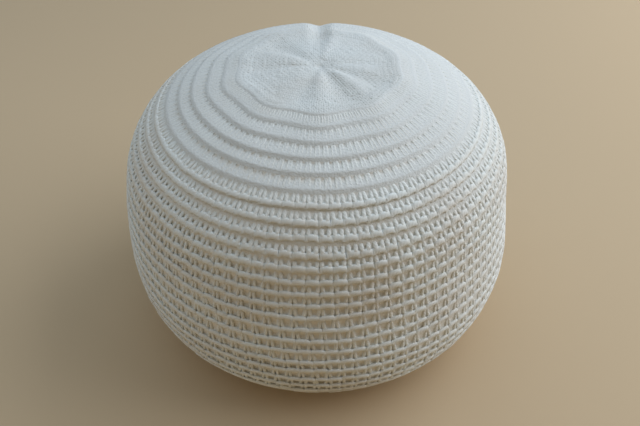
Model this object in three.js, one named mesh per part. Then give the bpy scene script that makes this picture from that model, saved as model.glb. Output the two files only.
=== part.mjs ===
// A round knitted floor cushion: one filled cover of garter ridges that run round and round it,
// drawn together on top into a plain crown with radial folds and one sewn seam at the back.
// Millimetres, +Z up. The origin is the middle of the underside, on the floor.
import * as THREE from "three";

// Driving dimensions
const widestRadius = 225; // over the ridges, low on the side, where the filling has settled
const fullHeight = 322; // from the floor to the top of the crown
const crownRadius = 85; // the plain disc in the middle of the top
const restRadius = 130; // the part of the underside that lies flat
const ridgePitch = 14.6; // one ridge to the next, measured down the side
const wideRidgePitch = 17.3; // the same for the slack ridges next to the crown
const wideRidges = 3; // how many of those there are
const ridgeRelief = 4.8; // from a ridge's lip down to the groove above the next one
const columns = 56; // steps round the cushion
const yarnColour = 0xe3e0d3;

// The side from the crown's groove to the floor, as shares of the widest radius and the full height.
const sideSections = [
  { place: "crown groove", out: crownRadius / widestRadius, up: 0.981 },
  { place: "high shoulder", out: 0.616, up: 0.92 },
  { place: "shoulder", out: 0.789, up: 0.84 },
  { place: "low shoulder", out: 0.905, up: 0.724 },
  { place: "upper side", out: 0.953, up: 0.581 },
  { place: "side", out: 0.984, up: 0.436 },
  { place: "widest", out: 1.0, up: 0.292 },
  { place: "lower side", out: 0.944, up: 0.148 },
  { place: "tuck", out: 0.783, up: 0.049 },
  { place: "floor", out: restRadius / widestRadius, up: 0.0 },
];

// One ridge, from the groove above it to its lip: how far along the pitch, and how far below the lip.
const ridgeStations = [
  { place: "groove", along: 0.0, sunk: 1.0 },
  { place: "rise", along: 0.42, sunk: 0.36 },
  { place: "lip", along: 0.8, sunk: 0.0 },
];

// Ridges aren't evenly spaced: how far some of them have slipped down the side, in shares of the pitch.
const ridgeSlips = [
  { ridge: 0, slip: 0.0 },
  { ridge: 3, slip: 0.0 },
  { ridge: 5, slip: 0.16 },
  { ridge: 8, slip: 0.12 },
  { ridge: 10, slip: -0.05 },
  { ridge: 13, slip: -0.3 },
  { ridge: 19, slip: -0.25 },
  { ridge: 24, slip: 0.0 },
];

// The crown from its middle to its rim: share of its radius, and height over the groove round it.
const crownSections = [
  { place: "drawn middle", out: 0.0, over: 4.0 },
  { place: "gather", out: 0.1, over: 6.3 },
  { place: "inner", out: 0.21, over: 7.8 },
  { place: "high ring", out: 0.34, over: 8.0 },
  { place: "half way", out: 0.49, over: 7.3 },
  { place: "outer", out: 0.65, over: 6.2 },
  { place: "sag", out: 0.81, over: 5.2 },
  { place: "rim", out: 0.93, over: 5.6 },
];

// Folds that run out from the drawn middle. Angles in degrees, anticlockwise from +X, seen from above.
const crownFolds = [
  { angle: 6, halfWidth: 7, rise: -1.6 },
  { angle: 77, halfWidth: 8, rise: 1.8 },
  { angle: 138, halfWidth: 10, rise: -2.6 },
  { angle: 162, halfWidth: 12, rise: 1.4 },
  { angle: 186, halfWidth: 7, rise: -2.0 },
  { angle: 232, halfWidth: 15, rise: 1.2 },
  { angle: 270, halfWidth: 9, rise: 2.8 },
  { angle: 294, halfWidth: 9, rise: -3.4 },
  { angle: 312, halfWidth: 8, rise: 1.6 },
  { angle: 332, halfWidth: 8, rise: -3.0 },
];
const foldStart = 0.06; // shares of the crown's radius between which the folds rise, stay and die away
const foldFull = 0.3;
const foldFade = 0.55;
const foldEnd = 1.12;

// The sewn seam, drawn in as a crease from the middle of the crown over the back shoulder.
// All but its angle are millimetres; start to end are radii.
const seam = { angle: 90, halfWidth: 15, depth: 6.0, start: 24, full: 90, fade: 125, end: 200 };

// The rim of the crown and the ridges next to it are a little cornered, not true circles.
const corners = { count: 10, turn: 18, swell: 2.0, end: 150 };

// How far the body leans to the side at a few heights, given as shares of the full height.
const leanSections = [
  { place: "floor", up: 0.0, shift: 0.0 },
  { place: "widest", up: 0.3, shift: 0.0 },
  { place: "upper side", up: 0.55, shift: -3.2 },
  { place: "shoulder", up: 0.78, shift: -0.8 },
  { place: "crown", up: 1.0, shift: 0.8 },
];

function smoothStep(from, to, value) {
  return THREE.MathUtils.smoothstep(value, from, to);
}

function slipOf(ridge) {
  const next = ridgeSlips.findIndex((row) => row.ridge > ridge);
  if (next < 0) {
    return 0;
  }
  const before = ridgeSlips[next - 1];
  const after = ridgeSlips[next];
  const share = (ridge - before.ridge) / (after.ridge - before.ridge);
  return THREE.MathUtils.lerp(before.slip, after.slip, share);
}

// The side's curve, and the ridges' grooves and lips along it, from the crown's groove to the floor.
function sideProfile() {
  const curve = new THREE.SplineCurve(
    sideSections.map(({ out, up }) => new THREE.Vector2(out * widestRadius, up * fullHeight)),
  );
  curve.arcLengthDivisions = 2000;
  const length = curve.getLength();
  const wideLength = wideRidges * wideRidgePitch;
  const plainRidges = Math.round((length - wideLength) / ridgePitch);
  const plainPitch = (length - wideLength) / plainRidges;
  const points = [];
  for (let ridge = 0; ridge < wideRidges + plainRidges; ridge += 1) {
    const wide = ridge < wideRidges;
    const start = wide ? ridge * wideRidgePitch : wideLength + (ridge - wideRidges) * plainPitch;
    const pitch = wide ? wideRidgePitch : plainPitch;
    for (const { along, sunk } of ridgeStations) {
      const share = (start + (along + slipOf(ridge)) * pitch) / length;
      const place = curve.getPointAt(share);
      const tangent = curve.getTangentAt(share);
      const inward = new THREE.Vector2(tangent.y, -tangent.x);
      const point = place.addScaledVector(inward, sunk * ridgeRelief);
      points.push(new THREE.Vector2(point.x, Math.max(point.y, 0)));
    }
  }
  points.push(new THREE.Vector2(restRadius, 0));
  return points;
}

// The whole section, from the middle of the underside round to the middle of the crown.
function wholeProfile() {
  const grooveHeight = sideSections[0].up * fullHeight - ridgeRelief;
  const crown = crownSections.map(
    ({ out, over }) => new THREE.Vector2(out * crownRadius, grooveHeight + over),
  );
  const downward = [...crown, ...sideProfile(), new THREE.Vector2(0, 0)];
  return downward.reverse();
}

// A rounded bump of height 1 that falls off to both sides of an angle.
function bumpAt(angle, middle, halfWidth) {
  const apart = THREE.MathUtils.euclideanModulo(angle - middle + 180, 360) - 180;
  return smoothStep(0, 1, 1 - Math.abs(apart) / halfWidth);
}

function foldRise(angle, radius) {
  const out = radius / crownRadius;
  const reach = smoothStep(foldStart, foldFull, out) * (1 - smoothStep(foldFade, foldEnd, out));
  return crownFolds.reduce(
    (sum, fold) => sum + reach * fold.rise * bumpAt(angle, fold.angle, 2 * fold.halfWidth),
    0,
  );
}

function seamDepth(angle, radius) {
  const reach = smoothStep(seam.start, seam.full, radius) * (1 - smoothStep(seam.fade, seam.end, radius));
  const halfAngle = THREE.MathUtils.radToDeg(seam.halfWidth / Math.max(radius, seam.start));
  return reach * seam.depth * bumpAt(angle, seam.angle, halfAngle);
}

function cornerSwell(angle, radius) {
  const wave = Math.cos(THREE.MathUtils.degToRad(corners.count * (angle - corners.turn)));
  const reach = smoothStep(0, crownRadius, radius) * (1 - smoothStep(crownRadius, corners.end, radius));
  return corners.swell * reach * wave;
}

function leanAt(height) {
  const up = height / fullHeight;
  const above = Math.max(1, leanSections.findIndex((section) => section.up >= up));
  const low = leanSections[above - 1];
  const high = leanSections[above];
  return low.shift + (high.shift - low.shift) * smoothStep(low.up, high.up, up);
}

// The turned body with the crown's folds, the seam, the cornered rim and the lean put into its points.
function cushionGeometry() {
  const geometry = new THREE.LatheGeometry(wholeProfile(), columns);
  geometry.rotateX(Math.PI / 2);
  const position = geometry.attributes.position;
  const topHalf = fullHeight / 2;
  const point = new THREE.Vector3();
  for (let index = 0; index < position.count; index += 1) {
    point.fromBufferAttribute(position, index);
    const radius = Math.hypot(point.x, point.y);
    const height = point.z;
    if (height > topHalf && radius > 0) {
      const angle = THREE.MathUtils.radToDeg(Math.atan2(point.y, point.x));
      const stretch = (radius + cornerSwell(angle, radius)) / radius;
      point.x *= stretch;
      point.y *= stretch;
      point.z += foldRise(angle, radius) - seamDepth(angle, radius);
    }
    point.x += leanAt(height);
    position.setXYZ(index, point.x, point.y, point.z);
  }
  geometry.computeVertexNormals();
  return geometry;
}

const knittedCushion = new THREE.Mesh(
  cushionGeometry(),
  new THREE.MeshStandardMaterial({ color: yarnColour, roughness: 0.95, metalness: 0.0 }),
);
knittedCushion.name = "knitted_cushion";

const cushion = new THREE.Group();
cushion.add(knittedCushion);

export default cushion;
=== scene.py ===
import math

import bpy
import numpy as np
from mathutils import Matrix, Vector


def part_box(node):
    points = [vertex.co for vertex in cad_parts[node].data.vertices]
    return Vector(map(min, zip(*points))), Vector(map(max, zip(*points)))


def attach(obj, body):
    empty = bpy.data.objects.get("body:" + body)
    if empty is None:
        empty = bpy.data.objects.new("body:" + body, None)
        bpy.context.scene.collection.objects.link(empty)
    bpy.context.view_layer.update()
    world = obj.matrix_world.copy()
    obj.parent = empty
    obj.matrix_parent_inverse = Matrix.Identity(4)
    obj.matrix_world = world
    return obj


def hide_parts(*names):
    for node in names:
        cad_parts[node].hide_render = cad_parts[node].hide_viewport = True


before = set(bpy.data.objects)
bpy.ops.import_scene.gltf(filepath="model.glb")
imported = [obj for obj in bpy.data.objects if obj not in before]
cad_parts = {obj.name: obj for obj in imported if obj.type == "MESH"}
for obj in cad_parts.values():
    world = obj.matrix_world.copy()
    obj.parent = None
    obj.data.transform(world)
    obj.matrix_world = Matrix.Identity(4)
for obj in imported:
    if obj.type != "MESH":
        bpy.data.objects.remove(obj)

mm = 0.001
fullTurn = 2 * math.pi
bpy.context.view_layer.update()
cadNode = "knitted_cushion"
nodeLow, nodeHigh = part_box(cadNode)
widestRadius = (nodeHigh.x - nodeLow.x) / 2
fullHeight = nodeHigh.z
print("frame loaded, cushion", round(2 * widestRadius, 3), "m wide and", round(fullHeight, 3), "m high")


# puts the camera or a lamp in its place, looking at a point
def aimFrom(thing, place, target):
    bpy.context.scene.collection.objects.link(thing)
    thing.location = place
    thing.rotation_mode = "QUATERNION"
    thing.rotation_quaternion = (Vector(target) - Vector(place)).to_track_quat("-Z", "Y")


# camera at the photo's angle: above the front, looking down at the low belly
camera = {
    "place": (0.0012, -0.5913, 0.6538),
    "lookAt": (0.0012, 0.0, 0.1128),
    "lens": 36.56,  # mm
    "sensor": 36.0,  # mm
    "nearest": 0.01,
}


def placeCamera():
    data = bpy.data.cameras.new("camera")
    data.lens = camera["lens"]
    data.sensor_width = camera["sensor"]
    data.clip_start = camera["nearest"]
    view = bpy.data.objects.new("camera", data)
    aimFrom(view, camera["place"], camera["lookAt"])
    bpy.context.scene.camera = view


placeCamera()
print("camera placed")


def smoothStep(low, high, value):
    share = np.clip((value - low) / (high - low), 0, 1)
    return share * share * (3 - 2 * share)


# 0 before start and after end, 1 from full to fade
def reachBetween(start, full, fade, end, value):
    return smoothStep(start, full, value) * (1 - smoothStep(fade, end, value))


# a rounded bump of height 1 that falls off to both sides of an angle, in degrees
def bumpAt(angle, middle, halfWidth):
    apart = (angle - middle + 180) % 360 - 180
    return smoothStep(0, 1, 1 - np.abs(apart) / halfWidth)


# the outer skin that the ridges' lips reach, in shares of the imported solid's size or in mm
skin = {
    "crownOut": 0.378,  # radius of the plain disc on top
    "crownGroove": 4.8,  # how far the groove round the crown lies below the ridges' lips
    "crown": [  # share of the crown's radius, height over its groove
        (0.0, 4.0), (0.1, 6.3), (0.21, 7.8), (0.34, 8.0), (0.49, 7.3), (0.65, 6.2), (0.81, 5.2), (0.93, 5.6),
    ],
    "side": [  # out and up, from the crown's groove to the floor
        (0.378, 0.981), (0.616, 0.92), (0.789, 0.84), (0.905, 0.724), (0.953, 0.581), (0.984, 0.436),
        (1.0, 0.292), (0.944, 0.148), (0.783, 0.049), (0.578, 0.0),
    ],
    "folds": [  # angle from +X and half the width at half the height, in degrees, then rise
        (6, 7, -1.3), (77, 8, 1.5), (138, 10, -2.1), (162, 12, 1.2), (186, 7, -1.3), (232, 15, 1.1),
        (270, 9, 2.3), (294, 9, -2.0), (312, 8, 1.3), (332, 8, -2.0),
    ],
    "foldReach": (0.08, 0.4, 0.58, 1.12),  # shares of the crown's radius: start, full, fade, end
    # the sewn seam over the back shoulder, its reach as radii: start, full, fade, end
    "seam": {"angle": 90, "halfWidth": 15, "depth": 6.0, "reach": (24, 90, 125, 200)},
    "corners": {"count": 10, "turn": 18, "swell": 2.0, "end": 150},  # the crown's rim isn't a true circle
    "lean": [(0.0, 0.0), (0.3, 0.0), (0.55, -3.2), (0.78, -0.8), (1.0, 0.8)],  # up, shift
    "rows": 84,  # points of the simulated body down its section and round it
    "columns": 104,
    "poleGap": 1.2,  # from the first and last row to the middle
}
crownRadius = skin["crownOut"] * widestRadius


def splineThrough(points, perSpan=24):
    points = np.array(points, float)
    padded = np.vstack([points[:1], points, points[-1:]])
    steps = np.linspace(0, 1, perSpan, endpoint=False)[:, None]
    spans = []
    for before, start, end, after in zip(padded, padded[1:], padded[2:], padded[3:]):
        pull = (end - before) / 2
        push = (after - start) / 2
        cubic = (2 * start - 2 * end + pull + push) * steps**3
        square = (3 * end - 3 * start - 2 * pull - push) * steps**2
        spans.append(cubic + square + pull * steps + start)
    return np.vstack(spans + [points[-1:]])


def lengthAlong(line):
    return np.concatenate([[0], np.cumsum(np.linalg.norm(np.diff(line, axis=0), axis=1))])


# the section from the middle of the crown, down the side and under to the middle of the underside
grooveHeight = skin["side"][0][1] * fullHeight - skin["crownGroove"] * mm
crownPart = splineThrough([(out * crownRadius, grooveHeight + over * mm) for out, over in skin["crown"]])
sidePart = splineThrough([(out * widestRadius, up * fullHeight) for out, up in skin["side"]])
section = np.vstack([crownPart, sidePart, [(0.0, 0.0)]])
sectionLength = lengthAlong(section)
totalLength = sectionLength[-1]
sideStart = sectionLength[len(crownPart)]
sideLength = lengthAlong(sidePart)[-1]


# a point of the skin, by its distance along the section and its angle in radians
def skinPoint(along, turn):
    radius = np.interp(along, sectionLength, section[:, 0])
    height = np.interp(along, sectionLength, section[:, 1])
    angle = np.degrees(turn)
    upper = height > fullHeight / 2
    reach = reachBetween(*skin["foldReach"], radius / crownRadius)
    rise = sum(reach * lift * bumpAt(angle, middle, 2 * half) for middle, half, lift in skin["folds"])
    seam = skin["seam"]
    drawn = reachBetween(*seam["reach"], radius / mm)
    seamWidth = np.degrees(seam["halfWidth"] * mm / np.maximum(radius, seam["reach"][0] * mm))
    rise = rise - drawn * seam["depth"] * bumpAt(angle, seam["angle"], seamWidth)
    corners = skin["corners"]
    wave = np.cos(np.radians(corners["count"] * (angle - corners["turn"])))
    near = reachBetween(0, crownRadius, crownRadius, corners["end"] * mm, radius)
    radius = radius + np.where(upper, corners["swell"] * near * wave * mm, 0)
    leanUp, leanShift = np.array(skin["lean"]).T
    shift = np.interp(height / fullHeight, leanUp, leanShift) * mm
    lifted = height + np.where(upper, rise * mm, 0)
    return np.stack([radius * np.cos(turn) + shift, radius * np.sin(turn), lifted], axis=-1)


rowAlong = np.linspace(0, totalLength, skin["rows"] + 1)
rowAlong[0] = skin["poleGap"] * mm
rowAlong[-1] = totalLength - skin["poleGap"] * mm
columnTurn = np.arange(skin["columns"]) * fullTurn / skin["columns"]


def gridNormals(grid):
    acrossStep = np.roll(grid, -1, axis=1) - np.roll(grid, 1, axis=1)
    downStep = np.gradient(grid, axis=0)
    normal = np.cross(downStep, acrossStep)
    return normal / np.linalg.norm(normal, axis=-1, keepdims=True)


# the filled body inside the yarn, in mm: first its simulation, then its finished rows of points
filledBody = {
    "name": "filled_body",
    "depth": 4.4,  # how far the simulated body lies below the ridges' lips
    "startGap": 0.4,  # between it and the floor
    "swell": 1.2,  # how far the filling may push the cover out
    "pressure": 150.0,
    "frames": 20,
    # radius, height and distance from the seam: up to the first a point is held, from the second it is free
    "heldMiddle": (10, 45),
    "heldFloor": (4, 40),
    "heldSeam": (4, 22),
    "heldBelow": 0.05,  # points that are less free than this don't move at all
    "fill": 0.9,
    "crownRows": 24,
    "crownEnd": 1.0,  # from the last of those rows to the groove round the crown
    "crownDip": 0.62,  # below the lips, under the finer stitches of the crown and the underside
    "rimDip": 0.3,  # and on the low roll round the crown
    "underRows": 12,
    "underGap": 4.0,  # from the last ridge to the first of those rows
    "stations": (0.0, 0.18, 0.4, 0.58, 0.78),  # rows of points down a ridge, in shares of its pitch
    "smoothStations": (0.0, 0.2, 0.45, 0.68, 0.87),  # the same for the smooth ridges next to the crown
    "pitDips": [  # ridge, then how far below the lips at those stations, in the middle of a stitch
        (0, 1.1, 1.4, 0.9, 0.4, 0.05), (1, 2.5, 1.9, 1.2, 0.5, 0.05), (3, 3.8, 2.8, 1.8, 0.8, 0.05),
        (4, 4.3, 3.3, 2.1, 1.0, 0.1), (5, 3.2, 2.9, 2.4, 1.9, 1.2), (8, 2.3, 3.1, 3.8, 3.4, 1.7),
        (10, 2.8, 3.6, 4.2, 3.7, 2.0), (13, 3.5, 4.2, 4.5, 3.8, 2.3),
    ],
    "slotDips": [  # the same between two stitches
        (0, 0.9, 1.2, 0.8, 0.45, 0.25), (1, 1.8, 1.4, 0.9, 0.5, 0.25), (3, 2.5, 2.0, 1.25, 0.7, 0.25),
        (4, 3.0, 2.4, 1.55, 0.85, 0.3), (5, 2.7, 2.4, 1.9, 1.5, 1.2), (8, 2.3, 3.1, 3.1, 2.2, 1.7),
        (10, 2.8, 3.4, 3.2, 2.8, 2.0), (13, 2.9, 3.0, 3.6, 4.0, 2.5),
    ],
    "pulledLevel": 0.4,  # how far below them where the cover is pulled flat, in shares of a bar's thickness
    "floorGap": 0.3,  # under the finished body, so that the yarn lies on the floor and the body does not
}


def addPiece(name, mesh):
    piece = bpy.data.objects.new(name, mesh)
    bpy.context.scene.collection.objects.link(piece)
    return piece


def selectOnly(piece):
    bpy.ops.object.select_all(action="DESELECT")
    piece.select_set(True)
    bpy.context.view_layer.objects.active = piece


# a closed mesh over a grid of points, with a fan at each of its two poles
def gridMesh(name, grid):
    rows, columns = grid.shape[:2]
    poles = [grid[0].mean(axis=0), grid[-1].mean(axis=0)]
    points = np.vstack([grid.reshape(-1, 3), poles])
    index = np.arange(rows * columns).reshape(rows, columns)
    right = np.roll(index, -1, axis=1)
    quads = np.stack([index[:-1], index[1:], right[1:], right[:-1]], axis=-1).reshape(-1, 4)
    topFan = np.stack([np.full(columns, rows * columns), index[0], right[0]], axis=-1)
    bottomFan = np.stack([np.full(columns, rows * columns + 1), right[-1], index[-1]], axis=-1)
    mesh = bpy.data.meshes.new(name)
    mesh.from_pydata(points.tolist(), [], quads.tolist() + topFan.tolist() + bottomFan.tolist())
    return mesh


def readGrid(mesh, rows, columns):
    flat = np.zeros(len(mesh.vertices) * 3)
    mesh.vertices.foreach_get("co", flat)
    return flat.reshape(-1, 3)[: rows * columns].reshape(rows, columns, 3)


# how freely each point may swell: not at the drawn middle, along the seam or where it lies on the floor
def freeToSwell(grid):
    radius = np.linalg.norm(grid[..., :2], axis=-1) / mm
    height = grid[..., 2] / mm
    seam = skin["seam"]
    offSeam = np.abs((np.degrees(columnTurn) - seam["angle"] + 180) % 360 - 180)[None, :]
    seamGap = np.radians(offSeam) * radius
    onSeam = (height > fullHeight / mm / 2) & (radius < seam["reach"][-1])
    free = smoothStep(*filledBody["heldMiddle"], radius) * smoothStep(*filledBody["heldFloor"], height)
    return free * np.where(onSeam, smoothStep(*filledBody["heldSeam"], seamGap), 1)


def blowUp(piece, held):
    piece.vertex_groups.new(name="sewn").add(held, 1.0, "REPLACE")
    selectOnly(piece)
    cloth = piece.modifiers.new("filling", "CLOTH")
    cloth.settings.vertex_group_mass = "sewn"
    cloth.settings.use_pressure = True
    cloth.settings.uniform_pressure_force = filledBody["pressure"]
    cloth.settings.effector_weights.gravity = 0
    for step in range(1, filledBody["frames"] + 1):
        bpy.context.scene.frame_set(step)
    bpy.ops.object.modifier_apply(modifier="filling")
    bpy.context.scene.frame_set(1)


def fillBody():
    grid = skinPoint(rowAlong[:, None], columnTurn[None, :])
    outward = gridNormals(grid)
    free = freeToSwell(grid)[..., None]
    room = filledBody["swell"] * free * mm
    start = grid - outward * (filledBody["depth"] * mm + room)
    start[..., 2] = np.maximum(start[..., 2], filledBody["startGap"] * mm)
    piece = addPiece(filledBody["name"], gridMesh(filledBody["name"], start))
    rows, columns = start.shape[:2]
    held = np.flatnonzero(free < filledBody["heldBelow"]).tolist()
    blowUp(piece, held + [rows * columns, rows * columns + 1])  # the two poles are held too
    settled = readGrid(piece.data, rows, columns)
    push = np.sum((settled - start) * outward, axis=-1, keepdims=True)
    print("filling pushed the cover by", np.round(np.percentile(push / mm, [5, 25, 50, 75, 95]), 2), "mm")
    return piece, start + outward * np.clip(push, 0, room)


body, bodyGrid = fillBody()
bodyNormals = gridNormals(bodyGrid)
yarnSkin = bodyGrid + bodyNormals * filledBody["depth"] * mm
yarnSkin[..., 2] = np.maximum(yarnSkin[..., 2], 0)
print("body filled,", skin["rows"], "rows by", skin["columns"], "columns")


# skin point and outward direction at any place along the section and any angle
def surfaceAt(along, turn):
    row = np.interp(along, rowAlong, np.arange(len(rowAlong)))
    column = (turn % fullTurn) / fullTurn * skin["columns"]
    lowRow = np.clip(np.floor(row).astype(int), 0, len(rowAlong) - 2)
    lowColumn = np.floor(column).astype(int) % skin["columns"]
    nextColumn = (lowColumn + 1) % skin["columns"]
    down = (row - lowRow)[..., None]
    over = (column - np.floor(column))[..., None]

    def blend(grid):
        upper = grid[lowRow, lowColumn] * (1 - over) + grid[lowRow, nextColumn] * over
        lower = grid[lowRow + 1, lowColumn] * (1 - over) + grid[lowRow + 1, nextColumn] * over
        return upper * (1 - down) + lower * down

    normal = blend(bodyNormals)
    return blend(yarnSkin), normal / np.linalg.norm(normal, axis=-1, keepdims=True)


# the cover is pulled tighter on its right and left, where the stitches lie flatter
pulled = [(-15, 75, 0.7), (172, 75, 0.5)]  # angle from +X, degrees to either side, share


def pulledFlat(turn):
    return sum(share * bumpAt(np.degrees(turn), angle, halfWidth) for angle, halfWidth, share in pulled)


# how uneven the knitting is where its unrest is 1
handKnit = {
    "across": 0.02,  # of a stitch's width
    "down": 0.02,  # of its height
    "lift": 0.14,  # mm
    "stout": 0.04,  # of the yarn's size
    "sway": 0.3,  # mm that a round wanders up and down, in each of these waves
    "swayWaves": (2, 3, 5, 8),
}


# rings of points round a closed strand, its width along the skin and its thickness outwards
def ringsRound(place, normal, halfWidth, halfThick, sides):
    tangent = np.roll(place, -1, axis=0) - np.roll(place, 1, axis=0)
    tangent /= np.linalg.norm(tangent, axis=1, keepdims=True)
    side = np.cross(normal, tangent)
    side /= np.linalg.norm(side, axis=1, keepdims=True)
    out = np.cross(tangent, side)
    corner = np.arange(sides) * fullTurn / sides
    ring = side[:, None, :] * np.cos(corner)[None, :, None] * halfWidth.reshape(-1, 1, 1)
    ring = ring + out[:, None, :] * np.sin(corner)[None, :, None] * halfThick.reshape(-1, 1, 1)
    points = place[:, None, :] + ring
    points[..., 2] = np.maximum(points[..., 2], 0)
    return points


# one round of yarn: a stitch's path repeated round the cushion as a closed tube
# a path row is: share across the stitch, share of the way down it, height over the skin in mm, and how far
# the yarn has widened
def layCourse(path, size, stitches, head, foot, chance):
    across, down, height, widened = np.array(path, float).T
    sides = size["sides"]
    number = np.arange(stitches)[:, None]
    wander = chance.normal(0, 1, (4, stitches, 1)) * size["unrest"]
    turn = (number + across[None, :] + handKnit["across"] * wander[0]) * (fullTurn / stitches)
    sway = sum(
        chance.normal(0, handKnit["sway"]) * np.sin(wave * turn + chance.uniform(0, fullTurn))
        for wave in handKnit["swayWaves"]
    )
    along = head + (down[None, :] + handKnit["down"] * wander[1]) * (foot - head) + sway * mm * size["unrest"]
    lift = height[None, :] + handKnit["lift"] * wander[2]
    if size["level"] is not None:
        lift = lift + (size["level"] - lift) * pulledFlat(turn)
    point, normal = surfaceAt(along, turn)
    place = (point + normal * (lift * mm)[..., None]).reshape(-1, 3)
    stout = 1 + handKnit["stout"] * wander[3]
    halfWidth = (size["narrow"] + (size["wide"] - size["narrow"]) * widened[None, :]) * stout / 2
    halfThick = np.broadcast_to(size["thick"] * stout / 2, halfWidth.shape)
    points = ringsRound(place, normal.reshape(-1, 3), halfWidth, halfThick, sides)
    index = np.arange(len(place) * sides).reshape(-1, sides)
    ahead = np.roll(index, -1, axis=0)
    quads = np.stack([index, np.roll(index, -1, axis=1), np.roll(ahead, -1, axis=1), ahead], axis=-1)
    return {
        "points": points.reshape(-1, 3),
        "quads": quads.reshape(-1, 4),
        "length": lengthAlong(np.vstack([place, place[:1]])),
        "sides": sides,
        "lift": np.repeat(lift.reshape(-1), sides),
    }


# a map along the strand: metres along it, and the share of the way round it
def strandMap(courses):
    corners = []
    for course in courses:
        sides = course["sides"]
        near, low = np.meshgrid(course["length"][:-1], np.arange(sides) / sides, indexing="ij")
        far = np.repeat(course["length"][1:, None], sides, axis=1)
        high = low + 1 / sides
        corners.append(np.stack([near, low, near, high, far, high, far, low], axis=-1).reshape(-1, 8))
    return np.vstack(corners)


# flat maps in which no two faces share a place: the tubes cut into strips, one above the other
flatLayout = {
    "perStrip": 3.2,  # lengths of yarn in a strip, for every strip there is
    "margin": 0.08,  # above and below the yarn, in shares of a strip
    "lengthFill": 0.98,  # of its place that a length of yarn takes
    "fanTall": 0.01,  # of the whole height, for the fans at the body's poles
}


def flatMap(courses):
    segments = sum(len(course["length"]) - 1 for course in courses)
    perStrip = max(1, round(math.sqrt(segments * flatLayout["perStrip"])))
    strips = math.ceil(segments / perStrip)
    yarnTall = 1 - 2 * flatLayout["margin"]
    corners = []
    first = 0
    for course in courses:
        sides = course["sides"]
        number = np.arange(first, first + len(course["length"]) - 1)[:, None]
        first += len(number)
        left = (number % perStrip) / perStrip + np.zeros(sides)
        right = left + flatLayout["lengthFill"] / perStrip
        low = (number // perStrip + flatLayout["margin"] + yarnTall * np.arange(sides) / sides) / strips
        high = low + yarnTall / sides / strips
        corners.append(np.stack([left, low, left, high, right, high, right, low], axis=-1).reshape(-1, 8))
    return np.vstack(corners)


# the body's flat map: columns across, rows down, the fans at its two poles along the edges
def flatBodyMap(rows, columns):
    left = np.arange(columns) / columns
    right = left + 1 / columns
    middle = left + 0.5 / columns
    down = np.linspace(flatLayout["fanTall"], 1 - flatLayout["fanTall"], rows)
    upper, leftSide = np.meshgrid(down[:-1], left, indexing="ij")
    lower, rightSide = np.meshgrid(down[1:], right, indexing="ij")
    quads = np.stack([leftSide, upper, leftSide, lower, rightSide, lower, rightSide, upper], axis=-1)
    first = np.full(columns, down[0])
    last = np.full(columns, down[-1])
    topFan = np.stack([middle, 0 * first, left, first, right, first], axis=-1)
    bottomFan = np.stack([middle, np.ones(columns), right, last, left, last], axis=-1)
    return np.concatenate([quads.ravel(), topFan.ravel(), bottomFan.ravel()])


def addMap(mesh, name, corners):
    layer = mesh.uv_layers.new(name=name)
    layer.uv.foreach_set("vector", corners.astype(np.float32).ravel())


# how high each point's yarn or knit lies over the skin, in mm, for the materials
def addLift(mesh, heights):
    lift = mesh.attributes.new("lift", "FLOAT", "POINT")
    lift.data.foreach_set("value", heights.astype(np.float32))


# joins courses into one mesh, with a map along the strand and a flat one for baking
def joinCourses(name, courses):
    points = np.vstack([course["points"] for course in courses])
    firsts = np.concatenate([[0], np.cumsum([len(course["points"]) for course in courses])])
    quads = np.vstack([course["quads"] + first for course, first in zip(courses, firsts)])
    mesh = bpy.data.meshes.new(name)
    mesh.vertices.add(len(points))
    mesh.vertices.foreach_set("co", points.astype(np.float32).ravel())
    mesh.loops.add(quads.size)
    mesh.loops.foreach_set("vertex_index", quads.astype(np.int32).ravel())
    mesh.polygons.add(len(quads))
    mesh.polygons.foreach_set("loop_start", np.arange(0, quads.size, 4, dtype=np.int32))
    mesh.polygons.foreach_set("use_smooth", np.ones(len(quads), bool))
    mesh.update(calc_edges=True)
    addMap(mesh, "strand", strandMap(courses))
    addMap(mesh, "OFBake", flatMap(courses))
    addLift(mesh, np.concatenate([course["lift"] for course in courses]))
    mesh.validate()
    print(name, "knitted,", 2 * len(quads), "triangles")
    return addPiece(name, mesh)


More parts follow.
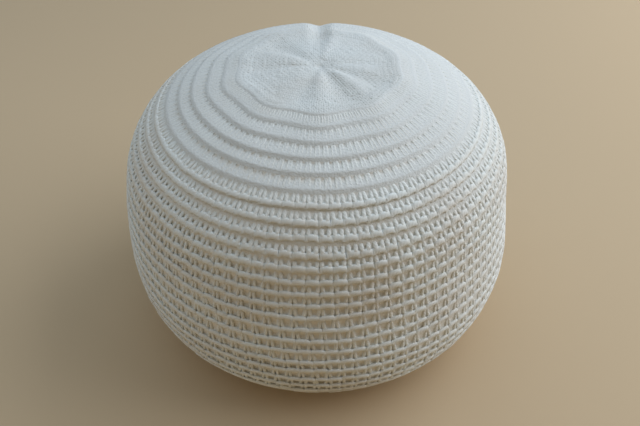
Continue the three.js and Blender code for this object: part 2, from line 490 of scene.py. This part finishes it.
# garter ridges: each round is a row of legs that hangs from the lip above, and a bar that they turn into
ridges = {
    "stitches": 104,
    "pitch": 14.6,  # mm down the side
    "widePitch": 17.3,  # the same for the ridges next to the crown
    "wideRidges": 3,
    "underRidges": 3,  # more of them on the floor, where the side has ended
    "smoothRidges": 5,  # next to the crown the knit is so tight that its bars close up into one smooth lip
    # a row is a ridge, then these: thickness, sinking and tuck in mm, the rest in shares of the stitch across
    # and of the pitch down; rises are shares of the leg's way down, headWide of legAcross, unrest of handKnit
    "legColumns": (
        "turn", "head", "headSunk", "riseFrom", "riseTo", "footSunk", "foot", "tuck", "legWide", "legAcross",
        "legThick", "headWide",
    ),
    "legs": [
        (0, -0.34, -0.06, 1.0, 0.1, 1.0, 0.25, 0.8, 0.8, 0.36, 0.22, 1.0, 0.6),
        (1, -0.28, -0.06, 1.65, 0.1, 1.0, 0.25, 0.8, 0.8, 0.35, 0.21, 1.1, 0.65),
        (3, -0.17, -0.06, 2.25, 0.1, 1.0, 0.25, 0.82, 1.0, 0.33, 0.2, 1.4, 0.65),
        (4, -0.11, -0.06, 2.55, 0.1, 1.0, 0.25, 0.83, 1.2, 0.33, 0.2, 1.6, 0.65),
        (5, -0.06, -0.08, 2.4, 0.12, 0.65, 0.0, 0.85, 1.6, 0.38, 0.21, 2.2, 0.65),
        (8, 0.11, -0.05, 3.7, 0.22, 0.62, 0.0, 0.765, 1.2, 0.38, 0.22, 2.4, 0.72),
        (10, 0.22, -0.05, 3.4, 0.2, 0.7, 0.6, 0.77, 1.2, 0.33, 0.19, 2.6, 0.75),
        (13, 0.39, -0.05, 2.4, 0.15, 0.85, 1.3, 0.78, 1.2, 0.29, 0.15, 2.8, 0.8),
        (32, 1.45, -0.05, 2.4, 0.15, 0.85, 1.3, 0.78, 1.2, 0.29, 0.15, 2.8, 0.8),
    ],
    "barColumns": (
        "drift", "barTall", "barThick", "barSunk", "waist", "waistSunk", "slotHalf", "cusp", "unrest",
    ),
    "bars": [
        (0, 0.0, 0.5, 1.1, 1.6, 0.5, 0.0, 0.03, 0.0, 0.2),
        (3, 0.0, 0.46, 1.5, 1.6, 0.44, 0.0, 0.05, 0.01, 0.3),
        (4, 0.08, 0.43, 2.0, 1.5, 0.35, 0.1, 0.055, 0.02, 0.45),
        (5, 0.16, 0.46, 2.4, 0.1, 0.3, 0.2, 0.06, 0.025, 0.6),
        (8, 0.12, 0.5, 2.7, 0.0, 0.2, 0.5, 0.07, 0.06, 0.9),
        (10, -0.05, 0.45, 2.9, 0.0, 0.29, 0.2, 0.055, 0.055, 1.1),
        (13, -0.3, 0.4, 3.0, 0.0, 0.36, 0.0, 0.035, 0.05, 1.3),
        (19, -0.25, 0.4, 3.0, 0.0, 0.36, 0.0, 0.035, 0.05, 1.3),
        (24, 0.0, 0.4, 3.0, 0.0, 0.36, 0.0, 0.035, 0.05, 1.3),
        (32, 0.0, 0.4, 3.0, 0.0, 0.36, 0.0, 0.035, 0.05, 1.3),
    ],
    # shares of the leg's way out, of the rest of the way to the stitch's middle, and of the way down;
    # None stands for headWide
    "halfLoop": [
        (0.0, 0.0, 0.0), (None, 0.0, 0.05), (1.0, 0.0, 0.4), (1.0, 0.0, 0.55), (1.0, 0.15, 0.86),
        (1.0, 0.6, 1.0),
    ],
    "lip": 0.95,  # the bar's lower edge, in shares of the pitch
    "barCorner": 0.09,  # from the slot's edge to where the bar is nearly as tall as it gets
    "barWidening": (0.0, 0.1, 0.9, 1.0),  # in the slot, at its edge, at that corner and in the middle
    "measuredAt": 0.6,  # share of the pitch at which a stitch's width is taken
    "pulledRib": 0.15,  # mm that a rib stands over the body where the cover is pulled flat
    "pulledLeg": 0.65,  # lower down: how deep its legs then lie, in shares of the bar's thickness
    "ribsToLegs": (4, 8),  # the ridges between which the one turns into the other
    "sides": 6,
    "seed": 11,
    "pieces": ["ridges_shoulder", "ridges_upper", "ridges_lower", "ridges_under"],
    "perPiece": 8,
}


# where each ridge starts along the section, and its pitch
def ridgeStarts():
    widePitch = ridges["widePitch"] * mm
    wideLength = ridges["wideRidges"] * widePitch
    plain = round((sideLength - wideLength) / (ridges["pitch"] * mm))
    plainPitch = (sideLength - wideLength) / plain
    rows = [(sideStart + ridge * widePitch, widePitch) for ridge in range(ridges["wideRidges"])]
    plainStart = sideStart + wideLength
    rows += [(plainStart + ridge * plainPitch, plainPitch) for ridge in range(plain + ridges["underRidges"])]
    return rows


ridgeRows = ridgeStarts()


# a table's columns at a ridge that may lie between its rows
def atRidge(number, rows):
    table = np.array(rows, float).T
    return [np.interp(number, table[0], column) for column in table[1:]]


def ridgeSizes(number):
    sizes = dict(zip(ridges["legColumns"], atRidge(number, ridges["legs"])))
    sizes.update(zip(ridges["barColumns"], atRidge(number, ridges["bars"])))
    return sizes


# the other half of a stitch's path
def mirrored(half):
    return [(1 - across, *rest) for across, *rest in half[::-1]]


def turnedBy(share, path):
    return [(across + share, *rest) for across, *rest in path]


# one stitch's two legs, from the slot between two stitches to the next slot
def legPath(sizes):
    leg = sizes["legAcross"]
    barMiddle = -sizes["barThick"] / 2
    half = []
    for legShare, restShare, down in ridges["halfLoop"]:
        legShare = sizes["headWide"] if legShare is None else legShare
        risen = smoothStep(sizes["riseFrom"], sizes["riseTo"], down)
        sunk = sizes["headSunk"] + (sizes["footSunk"] - sizes["headSunk"]) * risen
        behind = sizes["tuck"] * restShare
        half.append((leg * legShare + (0.5 - leg) * restShare, down, barMiddle - sunk - behind, 0.0))
    return turnedBy(sizes["turn"], half + mirrored(half[1:]))


# one stitch's bar, drawn in to a waist at the slots
def barPath(sizes):
    slot = sizes["slotHalf"]
    height = -sizes["barThick"] / 2 - sizes["barSunk"]
    waistHeight = height - sizes["waistSunk"]
    waistMiddle = ridges["lip"] + sizes["cusp"] - sizes["waist"] / 2
    barMiddle = ridges["lip"] - sizes["barTall"] / 2
    inSlot, atEdge, atCorner, inMiddle = ridges["barWidening"]
    half = [
        (0.0, waistMiddle, waistHeight, inSlot),
        (slot, waistMiddle, waistHeight, atEdge),
        (slot + ridges["barCorner"], barMiddle, height, atCorner),
        (0.5, barMiddle - sizes["cusp"] / 2, height, inMiddle),
    ]
    return turnedBy(sizes["turn"], half + mirrored(half[1:-1]))


def knitRidge(number, start, pitch, chance):
    sizes = ridgeSizes(number)
    stitches = ridges["stitches"]
    shared = {"sides": ridges["sides"], "unrest": sizes["unrest"]}
    radius = np.interp(start + ridges["measuredAt"] * pitch, sectionLength, section[:, 0])
    legWidth = sizes["legWide"] * fullTurn * radius / stitches
    bodyLevel = filledBody["pulledLevel"] * sizes["barThick"]
    ribLevel = ridges["pulledRib"] - bodyLevel - sizes["legThick"] / 2
    legLevel = np.interp(number, ridges["ribsToLegs"], (ribLevel, -ridges["pulledLeg"] * sizes["barThick"]))
    legs = {"narrow": legWidth, "wide": legWidth, "thick": sizes["legThick"] * mm,
            "level": legLevel, **shared}
    start += sizes["drift"] * pitch
    head = start + sizes["head"] * pitch
    foot = start + sizes["foot"] * pitch
    courses = [layCourse(legPath(sizes), legs, stitches, head, foot, chance)]
    if number >= ridges["smoothRidges"]:
        bar = {"narrow": sizes["waist"] * pitch, "wide": sizes["barTall"] * pitch,
               "thick": sizes["barThick"] * mm, "level": -sizes["barThick"] / 2, **shared}
        courses.append(layCourse(barPath(sizes), bar, stitches, start, start + pitch, chance))
    return courses


def knitRidges():
    chance = np.random.default_rng(ridges["seed"])
    rounds = [knitRidge(number, start, pitch, chance) for number, (start, pitch) in enumerate(ridgeRows)]
    pieces = []
    for number, name in enumerate(ridges["pieces"]):
        part = rounds[number * ridges["perPiece"]:(number + 1) * ridges["perPiece"]]
        pieces.append(joinCourses(name, [course for courses in part for course in courses]))
    return pieces


ridgePieces = knitRidges()


# the finished body's rows: place along the section, turn of the stitches, and how far below the lips it
# lies in a pit, in a slot and where the cover is pulled flat
def bodyRows():
    crownRows = filledBody["crownRows"]
    crownAlong = np.linspace(rowAlong[0], sideStart - filledBody["crownEnd"] * mm, crownRows)
    crownDips = np.append(np.full(crownRows - 1, filledBody["crownDip"]), filledBody["rimDip"])
    groups = [(crownAlong, ridgeSizes(0)["turn"], crownDips, crownDips, crownDips)]
    for number, (start, pitch) in enumerate(ridgeRows):
        sizes = ridgeSizes(number)
        smooth = number < ridges["smoothRidges"]
        stations = np.array(filledBody["smoothStations" if smooth else "stations"])
        along = start + (stations + sizes["drift"]) * pitch
        pit = atRidge(number, filledBody["pitDips"])
        slot = atRidge(number, filledBody["slotDips"])
        groups.append((along, sizes["turn"], pit, slot, filledBody["pulledLevel"] * sizes["barThick"]))
    underStart = along[-1] + filledBody["underGap"] * mm
    underAlong = np.linspace(underStart, rowAlong[-1], filledBody["underRows"])
    groups.append((underAlong, sizes["turn"], *[filledBody["crownDip"]] * 3))
    return np.hstack([np.stack(np.broadcast_arrays(*group)) for group in groups])


# the body again with its own points behind each pit and each slot between stitches
def finishBody():
    along, lean, pit, slot, level = bodyRows()[..., None]
    halfStitch = np.arange(2 * ridges["stitches"])[None, :]
    turn = (halfStitch / 2 + lean) * fullTurn / ridges["stitches"]
    point, normal = surfaceAt(along + 0 * turn, turn)
    dip = np.where(halfStitch % 2 == 0, slot, pit)
    dip = dip - np.maximum(dip - level, 0) * pulledFlat(turn)
    grid = point - normal * (dip * mm)[..., None]
    grid[..., 2] = np.maximum(grid[..., 2], filledBody["floorGap"] * mm)
    coarse = body.data
    body.data = gridMesh("ridged", grid)
    bpy.data.meshes.remove(coarse)
    body.data.name = filledBody["name"]
    addMap(body.data, "OFBake", flatBodyMap(*grid.shape[:2]))
    addLift(body.data, -np.concatenate([dip.ravel(), [filledBody["crownDip"]] * 2]))
    selectOnly(body)
    bpy.ops.object.shade_smooth()
    print("body ridged,", grid.shape[0], "rows by", grid.shape[1], "columns")


finishBody()


# the plain discs that the cover is drawn into, on top and underneath, in mm
discs = {
    "stitchWidth": 4.6,
    "pitch": 4.4,
    "legWidth": 3.4,
    "legThick": 1.0,
    "sides": 6,
    "unrest": 0.6,
    "innermost": 4.0,
    "outermost": 2.0,  # how far inside the crown's edge its stitches end
    "fewest": 8,  # stitches in a round
    "halfStitch": [  # path rows as for a course
        (0.5, -0.12, -0.95, 0.0), (0.83, 0.12, -0.82, 0.0), (0.7, 0.55, -0.72, 0.0), (0.64, 0.95, -0.82, 0.0),
    ],
    "join": (1.0, 1.0, -0.95, 0.0),
    "crownScale": 1.0,
    "crownSeed": 23,
    "underScale": 1.4,  # coarser underneath, where it lies on the floor
    "underSeed": 29,
}


def knitDisc(name, firstAlong, lastAlong, scale, seed):
    chance = np.random.default_rng(seed)
    path = mirrored(discs["halfStitch"][1:]) + discs["halfStitch"] + [discs["join"]]
    width = discs["legWidth"] * scale * mm
    size = {"narrow": width, "wide": width, "thick": discs["legThick"] * mm, "level": None,
            "sides": discs["sides"], "unrest": discs["unrest"]}
    count = round(abs(lastAlong - firstAlong) / (discs["pitch"] * scale * mm))
    pitch = (lastAlong - firstAlong) / count
    courses = []
    for row in range(count):
        start = firstAlong + row * pitch
        radius = np.interp(start + pitch / 2, sectionLength, section[:, 0])
        stitches = max(discs["fewest"], round(fullTurn * radius / (discs["stitchWidth"] * scale * mm)))
        courses.append(layCourse(path, size, stitches, start, start + pitch, chance))
    return joinCourses(name, courses)


crownEdge = sideStart - discs["outermost"] * mm
crown = knitDisc("crown", discs["innermost"] * mm, crownEdge, discs["crownScale"], discs["crownSeed"])
underMiddle = totalLength - discs["innermost"] * mm
underEdge = sum(ridgeRows[-1])
underDisc = knitDisc("under_disc", underMiddle, underEdge, discs["underScale"], discs["underSeed"])


# sRGB hex to linear light
def linearColour(hexText):
    shares = [int(hexText[place:place + 2], 16) / 255 for place in (1, 3, 5)]
    return [share / 12.92 if share <= 0.04045 else ((share + 0.055) / 1.055) ** 2.4 for share in shares] + [1]


# one node with its settings, its fixed inputs and its links
def addNode(tree, kind, settings=None, inputs=None, links=None):
    node = tree.nodes.new(kind)
    for key, value in (settings or {}).items():
        setattr(node, key, value)
    for key, value in (inputs or {}).items():
        node.inputs[key].default_value = value
    for key, socket in (links or {}).items():
        tree.links.new(socket, node.inputs[key])
    return node


def newMaterial(name):
    material = bpy.data.materials.new(name)
    material.use_nodes = True
    material.node_tree.nodes.clear()
    return material, material.node_tree


# plied cotton yarn, undyed cream: matt, a little fuzzy, with a slow twist of three plies
yarnLook = {
    "ridges": ("#e8eae3", "#e1ded4"),  # cream and its duller patches
    "discs": ("#dde0db", "#d7d6ce"),  # the same cream darkened as painted shade, where fine stitches shade each other
    "cloud": 60.0,  # mm from patch to patch
    "cloudDetail": 4.0,
    "patches": (0.35, 0.75),  # the noise's values from cream to dull
    # painted shade: yarn lying deep below the lips is mixed towards this darker, warmer tone
    "deep": "#d5cebc",
    "deepShadeLift": (-2.5, -6.5),  # mm over the skin from which and to which that painted shade comes in
    "deepShare": 0.1,
    "twist": 11.0,  # mm for one turn of a ply
    "plies": 3,
    "fibre": 0.9,  # mm, drawn coarser than real fibres so that they show
    "fibreDetail": 3.0,
    "fibreShare": 0.35,  # of the plies' relief
    "relief": 0.4,  # mm
    "reliefStrength": 0.35,
    "roughness": (0.8, 0.98),  # least and most, uneven as the fibres are
    "ior": 1.5,
    "specular": 0.25,
    "sheen": 0.08,
    "sheenRoughness": 0.5,
}


def cottonYarn(name, cream, dull):
    material, tree = newMaterial(name)
    strand = addNode(tree, "ShaderNodeUVMap", {"uv_map": "strand"})
    # the wave texture's bands count ten radians for each unit of its vector
    aroundScale = fullTurn * yarnLook["plies"] / 10
    alongScale = aroundScale / (yarnLook["twist"] * mm)
    spun = addNode(tree, "ShaderNodeMapping", inputs={"Scale": (alongScale, aroundScale, 0)},
                   links={"Vector": strand.outputs["UV"]})
    plies = addNode(tree, "ShaderNodeTexWave", {"wave_type": "BANDS", "bands_direction": "DIAGONAL"},
                    {"Scale": 1.0, "Distortion": 0.0}, {"Vector": spun.outputs["Vector"]})
    place = addNode(tree, "ShaderNodeTexCoord")
    fibre = addNode(tree, "ShaderNodeTexNoise",
                    inputs={"Scale": 1 / (yarnLook["fibre"] * mm), "Detail": yarnLook["fibreDetail"]},
                    links={"Vector": place.outputs["Object"]})
    cloud = addNode(tree, "ShaderNodeTexNoise",
                    inputs={"Scale": 1 / (yarnLook["cloud"] * mm), "Detail": yarnLook["cloudDetail"]},
                    links={"Vector": place.outputs["Object"]})
    patchMin, patchMax = yarnLook["patches"]
    patches = addNode(tree, "ShaderNodeMapRange", inputs={"From Min": patchMin, "From Max": patchMax},
                      links={"Value": cloud.outputs["Fac"]})
    tone = addNode(tree, "ShaderNodeMix", {"data_type": "RGBA"},
                   {"A": linearColour(cream), "B": linearColour(dull)},
                   {"Factor": patches.outputs["Result"]})
    # painted shade: the deeper the yarn lies, the more of the darker tone it gets
    lift = addNode(tree, "ShaderNodeAttribute", {"attribute_name": "lift"})
    deepFrom, deepTo = yarnLook["deepShadeLift"]
    sunk = addNode(tree, "ShaderNodeMapRange",
                   inputs={"From Min": deepFrom, "From Max": deepTo, "To Max": yarnLook["deepShare"]},
                   links={"Value": lift.outputs["Fac"]})
    shaded = addNode(tree, "ShaderNodeMix", {"data_type": "RGBA"}, {"B": linearColour(yarnLook["deep"])},
                     {"Factor": sunk.outputs["Result"], "A": tone.outputs["Result"]})
    relief = addNode(tree, "ShaderNodeMath", {"operation": "MULTIPLY_ADD"}, {1: yarnLook["fibreShare"]},
                     {0: fibre.outputs["Fac"], 2: plies.outputs["Fac"]})
    bump = addNode(tree, "ShaderNodeBump",
                   inputs={"Strength": yarnLook["reliefStrength"], "Distance": yarnLook["relief"] * mm},
                   links={"Height": relief.outputs["Value"]})
    roughMin, roughMax = yarnLook["roughness"]
    rough = addNode(tree, "ShaderNodeMapRange", inputs={"To Min": roughMin, "To Max": roughMax},
                    links={"Value": fibre.outputs["Fac"]})
    shader = addNode(tree, "ShaderNodeBsdfPrincipled",
                     inputs={"IOR": yarnLook["ior"], "Specular IOR Level": yarnLook["specular"],
                             "Sheen Weight": yarnLook["sheen"],
                             "Sheen Roughness": yarnLook["sheenRoughness"]},
                     links={"Base Color": shaded.outputs["Result"], "Roughness": rough.outputs["Result"],
                            "Normal": bump.outputs["Normal"]})
    addNode(tree, "ShaderNodeOutputMaterial", links={"Surface": shader.outputs["BSDF"]})
    return material


# the back of the same cotton knit, napped and quite matt; painted light makes it lighter and warmer down in
# the pits, standing in for light that real yarn lets through to them
backingLook = {
    "lip": "#dedfd9",  # on the smooth lips next to the crown
    "pitsPaintedLight": ("#ece7da", "#f3eee3"),
    "pitLightLift": (-2.0, -3.8),  # mm over the skin, from the lip's tone to the pits' painted light
    "nap": 2.2,  # mm, drawn coarser than real nap so that it shows
    "napDetail": 4.0,
    "relief": 1.1,  # mm
    "reliefStrength": 0.9,
    "roughness": 0.95,
    "ior": 1.5,
    "specular": 0.2,
}


def knitBacking():
    material, tree = newMaterial("cream cotton knit backing")
    place = addNode(tree, "ShaderNodeTexCoord")
    nap = addNode(tree, "ShaderNodeTexNoise",
                  inputs={"Scale": 1 / (backingLook["nap"] * mm), "Detail": backingLook["napDetail"]},
                  links={"Vector": place.outputs["Object"]})
    dull, light = (linearColour(colour) for colour in backingLook["pitsPaintedLight"])
    tone = addNode(tree, "ShaderNodeMix", {"data_type": "RGBA"}, {"A": dull, "B": light},
                   {"Factor": nap.outputs["Fac"]})
    # painted light: the deeper the backing lies, the more of the lighter, warmer pit tone it gets
    lift = addNode(tree, "ShaderNodeAttribute", {"attribute_name": "lift"})
    pitFrom, pitTo = backingLook["pitLightLift"]
    sunk = addNode(tree, "ShaderNodeMapRange", inputs={"From Min": pitFrom, "From Max": pitTo},
                   links={"Value": lift.outputs["Fac"]})
    paintedLightTone = addNode(tree, "ShaderNodeMix", {"data_type": "RGBA"}, {"A": linearColour(backingLook["lip"])},
                    {"Factor": sunk.outputs["Result"], "B": tone.outputs["Result"]})
    bump = addNode(tree, "ShaderNodeBump",
                   inputs={"Strength": backingLook["reliefStrength"], "Distance": backingLook["relief"] * mm},
                   links={"Height": nap.outputs["Fac"]})
    shader = addNode(tree, "ShaderNodeBsdfPrincipled",
                     inputs={"Roughness": backingLook["roughness"], "IOR": backingLook["ior"],
                             "Specular IOR Level": backingLook["specular"]},
                     links={"Base Color": paintedLightTone.outputs["Result"], "Normal": bump.outputs["Normal"]})
    addNode(tree, "ShaderNodeOutputMaterial", links={"Surface": shader.outputs["BSDF"]})
    return material


ridgeYarn = cottonYarn("cream plied cotton yarn", *yarnLook["ridges"])
# painted shade: the discs get a darker copy of the same yarn
discYarnPaintedShade = cottonYarn("cream plied cotton yarn in plain knit, painted shade", *yarnLook["discs"])
body.data.materials.append(knitBacking())
for piece in ridgePieces:
    piece.data.materials.append(ridgeYarn)
for piece in (crown, underDisc):
    piece.data.materials.append(discYarnPaintedShade)
print("yarn and backing finished")

# every piece stays with the one body and stands for its solid
for piece in [body, *ridgePieces, crown, underDisc]:
    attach(piece, "root")
    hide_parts(cadNode)

# plain warm floor and soft studio light
studio = {
    "floorSize": 14.0,
    "floorColour": "#c9b18e",
    "floorRoughness": 0.9,
    "world": ("#edca96", 0.129),  # colour, strength
    "lampsAim": (0, 0, 0.16),
    "lamps": [  # name, place, size, power, colour
        ("windowKey", (1.9, 0.5, 1.4), 2.8, 66.5, "#e6edf9"),
        ("topSoft", (-0.3, 0.7, 2.2), 4.6, 46.5, "#bedefc"),
        ("leftFill", (-1.6, -0.4, 0.9), 1.4, 4.0, "#e6eef8"),
        ("frontFill", (-0.5, -1.9, 1.2), 2.0, 2.7, "#f6d9a4"),
    ],
}


# painted board, matt: an even tone with no gloss
def plainFloor():
    bpy.ops.object.select_all(action="DESELECT")
    bpy.ops.mesh.primitive_plane_add(size=studio["floorSize"])
    floor = bpy.context.active_object
    floor.name = "floor"
    material, tree = newMaterial("matt painted floor")
    shader = addNode(tree, "ShaderNodeBsdfPrincipled",
                     inputs={"Base Color": linearColour(studio["floorColour"]),
                             "Roughness": studio["floorRoughness"]})
    addNode(tree, "ShaderNodeOutputMaterial", links={"Surface": shader.outputs["BSDF"]})
    floor.data.materials.append(material)


def studioLight():
    world = bpy.data.worlds.new("studio")
    bpy.context.scene.world = world
    world.use_nodes = True
    glow = world.node_tree.nodes["Background"]
    colour, strength = studio["world"]
    glow.inputs["Color"].default_value = linearColour(colour)
    glow.inputs["Strength"].default_value = strength
    for name, place, size, power, colour in studio["lamps"]:
        data = bpy.data.lights.new(name, "AREA")
        data.size = size
        data.energy = power
        data.color = linearColour(colour)[:3]
        aimFrom(bpy.data.objects.new(name, data), place, studio["lampsAim"])
    bpy.context.scene.view_settings.view_transform = "Standard"


plainFloor()
studioLight()
print("floor and light set")
